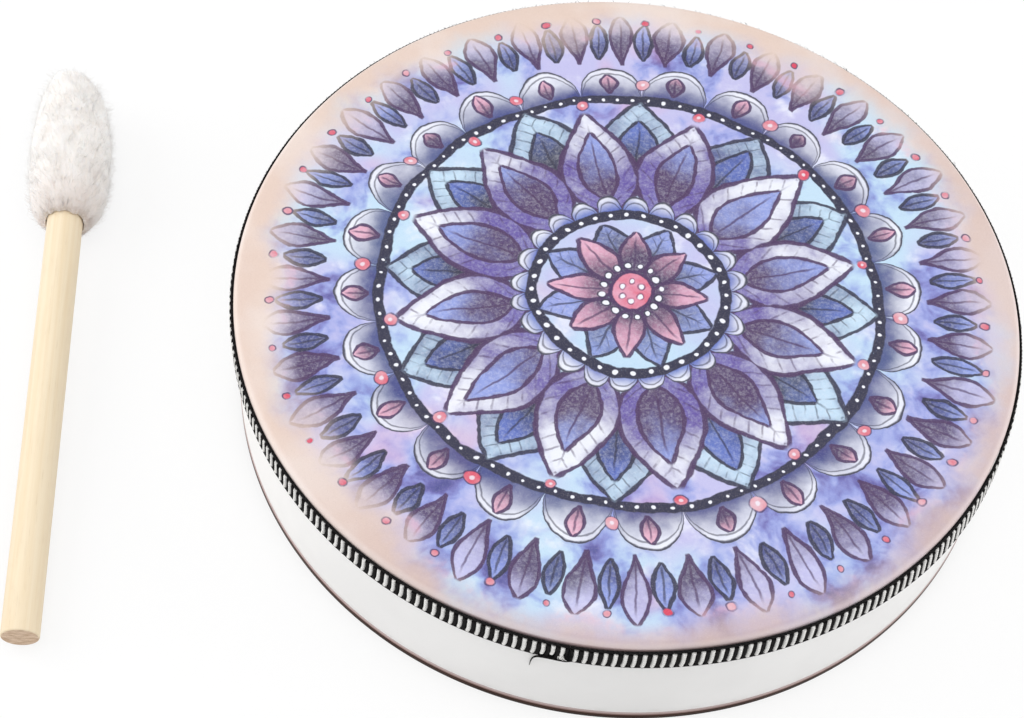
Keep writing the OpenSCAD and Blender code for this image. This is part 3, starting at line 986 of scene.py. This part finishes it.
bmesh.ops.transform(wadding, matrix=lay_down, verts=wadding.verts)
pad = piece("wadding_pad", wadding, wadding_cloth, "beater", ["beater_wadding"])

binding_thread, shader, spot = new_finish("binding_thread", 0.6)
ply = spot.cloud(3.0, 3.0)
plug(shader, Base_Color=ply.ease(0.3, 0.7).mix(ink(228, 220, 206), ink(204, 194, 178)), height=(ply, 0.08))
HEM, WIND = 0.9, 0.38
binding = bmesh.new()
wind_at = HANDLE_R + GLUE + HEM + GLUE + WIND
circle = arc((wind_at, GRIP + 0.5 + WIND), WIND, 0, 315, 7)
loop = [binding.verts.new(Vector((r, 0, z)) * MM) for r, z in circle]
coil = [binding.faces.new(loop)]
TURNS, PER_TURN = 3, 48
bmesh.ops.spin(
    binding, geom=coil + coil[0].edges[:] + loop, cent=(0, 0, 0), axis=(0, 0, 1), angle=TURN * TURNS,
    steps=TURNS * PER_TURN, dvec=(0, 0, 2.05 * WIND * MM / PER_TURN), use_merge=False
)
bmesh.ops.transform(binding, matrix=lay_down, verts=binding.verts)
piece("neck_binding", binding, binding_thread, "beater", ["beater_binding"])

# %% [markdown]
# ## The fleece
# The head is a cover of white pile as soft as cotton wool, with its tip leaning to one side. Hair particles
# would look right, but a part needs real meshes, and a thick coat of fibres turns grey, because each one
# shades the next. So a bright, lumpy body carries the look, and a thin coat of fibres over it only softens
# the outline. Each fibre is a spline of a curve with a thin bevel, which Blender turns into a tapered tube,
# and the tubes with their caps are then merged into a mesh. The body and all the fibres share one outline,
# which draws in round the dowel and is blunt at the tip.

# %% Fleece finish
fleece_wool, shader, spot = new_finish(
    "fleece", 0.95, Subsurface_Weight=0.8, Subsurface_Radius=(1.0, 0.9, 0.8), Subsurface_Scale=3.0 * MM,
    Sheen_Weight=0.3, Sheen_Roughness=0.6, Specular_IOR_Level=0.2
)
x, y, station = along_axis(spot)
shade = spot.cloud(0.16, 3.0)
strand = spot.vector(x, y, station * 0.22).wobbled(0.2, 1.5).cloud(1.3, 4.0, 0.65)
tone = shade.ease(0.4, 0.7).mix(ink(237, 234, 231), ink(229, 224, 220))
# Painted shade: the pile darkens towards the neck, where the dowel goes in.
tone = ((1 - station.ease(GRIP - 1, GRIP + 20)) * 0.7).mix(tone, ink(218, 207, 201))
tone = (strand.ease(0.55, 0.75) * 0.15).mix(tone, ink(222, 216, 212))
# Painted shade: a streaky brownish shade at the very hem, against the dowel.
hem = (1 - station.ease(GRIP - 0.5, GRIP + 2.4)) * strand.ease(0.35, 0.6)
tone = (hem * 0.6).mix(tone, ink(186, 166, 156))
plug(shader, Base_Color=tone, height=(strand, 0.1))


# %% The outline of the pile
def pile_radius(station):
    """Outline of the pile in mm: fuller than the cover towards its tip, and drawn in at the neck."""
    share = max(0.0, 1 - ((1 - (station - GRIP) / FLEECE_LEN - BELLY) / TIP_REACH) ** 2)
    full = FLEECE_R * share ** (BLUNT if station > GRIP + FLEECE_LEN * (1 - BELLY) else FULLNESS)
    near = min(1.0, max(0.0, (station - GRIP + 0.8) / 8))
    return NECK + (full - NECK) * math.sqrt(1 - (1 - near) ** 2) if near < 1 else full


def pile_place(angle, station, lift):
    """A point of the pile in mm: it leans to one side, and its neck hangs lower at the bottom."""
    share = max(0.0, (station - GRIP - 7) / 54)
    lean = share + 2.2 * share ** 5
    ragged = noise.noise(Vector((math.cos(angle) * 3, math.sin(angle) * 3, 5)))
    hang = (math.cos(angle) + 0.9 * ragged) * max(0.0, 1 - (station - GRIP) / 10)
    reach_out = max(pile_radius(station) + lift, 0.0)
    return Vector((reach_out * math.cos(angle), reach_out * math.sin(angle) + lean, station - hang))


def lumps(angle, station):
    """Soft locks of wool in mm, drawn out along the beater and a little twisted."""
    twist = angle + 0.035 * station
    spot = Vector((math.cos(twist) * 2.6, math.sin(twist) * 2.6, station * 0.05))
    soft = 0.62 * noise.noise(spot) + 0.15 * noise.noise(spot * 2.3) + 0.03 * noise.noise(spot * 5)
    return soft * min(1.0, pile_radius(station) / 6) * min(1.0, max(0.0, (station - GRIP) / 6))


TIP_REACH, BLUNT, NECK = 0.685, 0.36, HANDLE_R + 0.25
pile_end = GRIP + FLEECE_LEN * (1 - BELLY + TIP_REACH)
print("fleece reaches in mm:", round(pile_end, 1))

# %% The soft body
UNDER, ROWS = 0.35, 110
first, last = GRIP - 0.7, pile_end - 0.15
rows = [first + (last - first) * math.sin(step / ROWS * math.pi / 2) for step in range(ROWS + 1)]
outline = [(max(pile_radius(s) - UNDER, HANDLE_R + GLUE if s < GRIP + 30 else 0.5), s) for s in rows]
throat = HANDLE_R + GLUE
socket = [(0, handle_end + 2), (throat, handle_end + 0.5), (throat, GRIP + 0.8)]
body = spun_whole(socket + outline + [(0, pile_end)], 192)
for vert in body.verts:
    angle, s = math.atan2(vert.co.y, vert.co.x), vert.co.z / MM
    away = vert.co.xy.length / MM
    if away > HANDLE_R + 0.2 or s > handle_end + 3:
        vert.co = pile_place(angle, s, away - pile_radius(s) + lumps(angle, s)) * MM
bmesh.ops.transform(body, matrix=lay_down, verts=body.verts)
for vert in body.verts:
    vert.co.z = max(vert.co.z, 0.3 * MM)
fleece_body = piece("fleece_body", body, fleece_wool, "beater", ["beater_fleece"], 80)


# %% Fibres as curves
def grown(name, fibres, thick):
    """Makes fibres one mesh piece: a curve of thin splines, each tapered to its end."""
    curve = bpy.data.curves.new(name, "CURVE")
    curve.dimensions = "3D"
    curve.bevel_depth = thick * MM
    curve.bevel_resolution = 0
    curve.use_fill_caps = True
    for points in fibres:
        spline = curve.splines.new("POLY")
        spline.points.add(len(points) - 1)
        for step, (point, (angle, s, lift)) in enumerate(zip(spline.points, points)):
            place = lay_down @ (pile_place(angle, s, lift + lumps(angle, s)) * MM)
            point.co = (place.x, place.y, max(place.z, 0.2 * MM), 1)
            point.radius = 1 - 0.85 * (step / (len(points) - 1)) ** 3
    holder = bpy.data.objects.new(name + "_curve", curve)
    tubes = bpy.data.meshes.new_from_object(holder)
    shape = bmesh.new()
    shape.from_mesh(tubes)
    bpy.data.objects.remove(holder)
    bpy.data.meshes.remove(tubes)
    return piece(name, shape, fleece_wool, "beater", sharp=180)


def somewhere(luck):
    """An angle and a station on the pile, even over its surface."""
    while True:
        s = luck.uniform(GRIP + 0.5, pile_end - 0.3)
        if luck.random() * FLEECE_R < pile_radius(s):
            return luck.uniform(0, TURN), s


def lock(luck, length, lift, spread, count):
    """Fibres of one lock, which start spread out and draw together towards the tip."""
    angle, s = somewhere(luck)
    swirl = luck.gauss(0.15, 0.25)
    fibres = []
    for _ in range(count):
        own, rise = luck.uniform(0.7, 1.1) * length, lift * luck.uniform(0.3, 1.2)
        off_s, off_a = luck.gauss(0, 1.5), luck.gauss(0, spread) / max(pile_radius(s), 4)
        shares = [step / 4 for step in range(5)]
        places = [(angle + off_a * (1 - 0.3 * t) + swirl * t * t, s + off_s + own * t) for t in shares]
        places = [(a, min(b, pile_end - 0.8 + 0.5 * t)) for t, (a, b) in zip(shares, places)]
        fibres.append([(a, b, rise * t * t - 0.6 * (1 - t)) for t, (a, b) in zip(shares, places)])
    return fibres


def fuzz(luck):
    """One short, fine fibre that stands off the pile, longer towards the tip."""
    angle, s = somewhere(luck)
    off_a, off_s = luck.gauss(0, 1.2) / max(pile_radius(s), 4), luck.gauss(1.2, 1.4)
    wispy = 1 + 1.3 * max(0.0, (s - GRIP - 36) / 24)
    high = 0.2 + luck.random() ** 2 * 2.1 * wispy
    middle = (angle + off_a * 0.4, s + off_s * 0.6, high * 0.7)
    return [(angle, s, -0.6), middle, (angle + off_a, s + off_s, high)]


def hem_hair(luck):
    """One fine hair of the hem, which runs down on the dowel."""
    angle, off_a = luck.uniform(0, TURN), luck.gauss(0, 0.2)
    end = (angle + off_a, GRIP - luck.uniform(0.4, 2.6), luck.uniform(-0.05, 0.9))
    bow = (angle + off_a / 2, GRIP - 0.4, luck.uniform(0.1, 0.8))
    return [(angle, GRIP + luck.uniform(0.2, 3), -0.3), bow, end]


# %% Grow the pile
PILE_LOCKS, STRAY_LOCKS, FUZZ, HEM_HAIRS = 45, 40, 5200, 190
luck = random.Random(61)
pile, stray = [], []
for _ in range(PILE_LOCKS):
    pile += lock(luck, luck.uniform(8, 17), luck.uniform(0.1, 0.4), 2.6, 7)
for _ in range(STRAY_LOCKS):
    stray += lock(luck, luck.uniform(7, 14), luck.uniform(0.8, 2.0), 3.5, 5)
haze = [fuzz(luck) for _ in range(FUZZ)] + [hem_hair(luck) for _ in range(HEM_HAIRS)]
grown("fleece_pile", pile, 0.05)
grown("fleece_strays", stray, 0.05)
grown("fleece_fuzz", haze, 0.035)
print("fibres:", len(pile), "in the pile,", len(stray), "stray and", len(haze), "of fuzz")
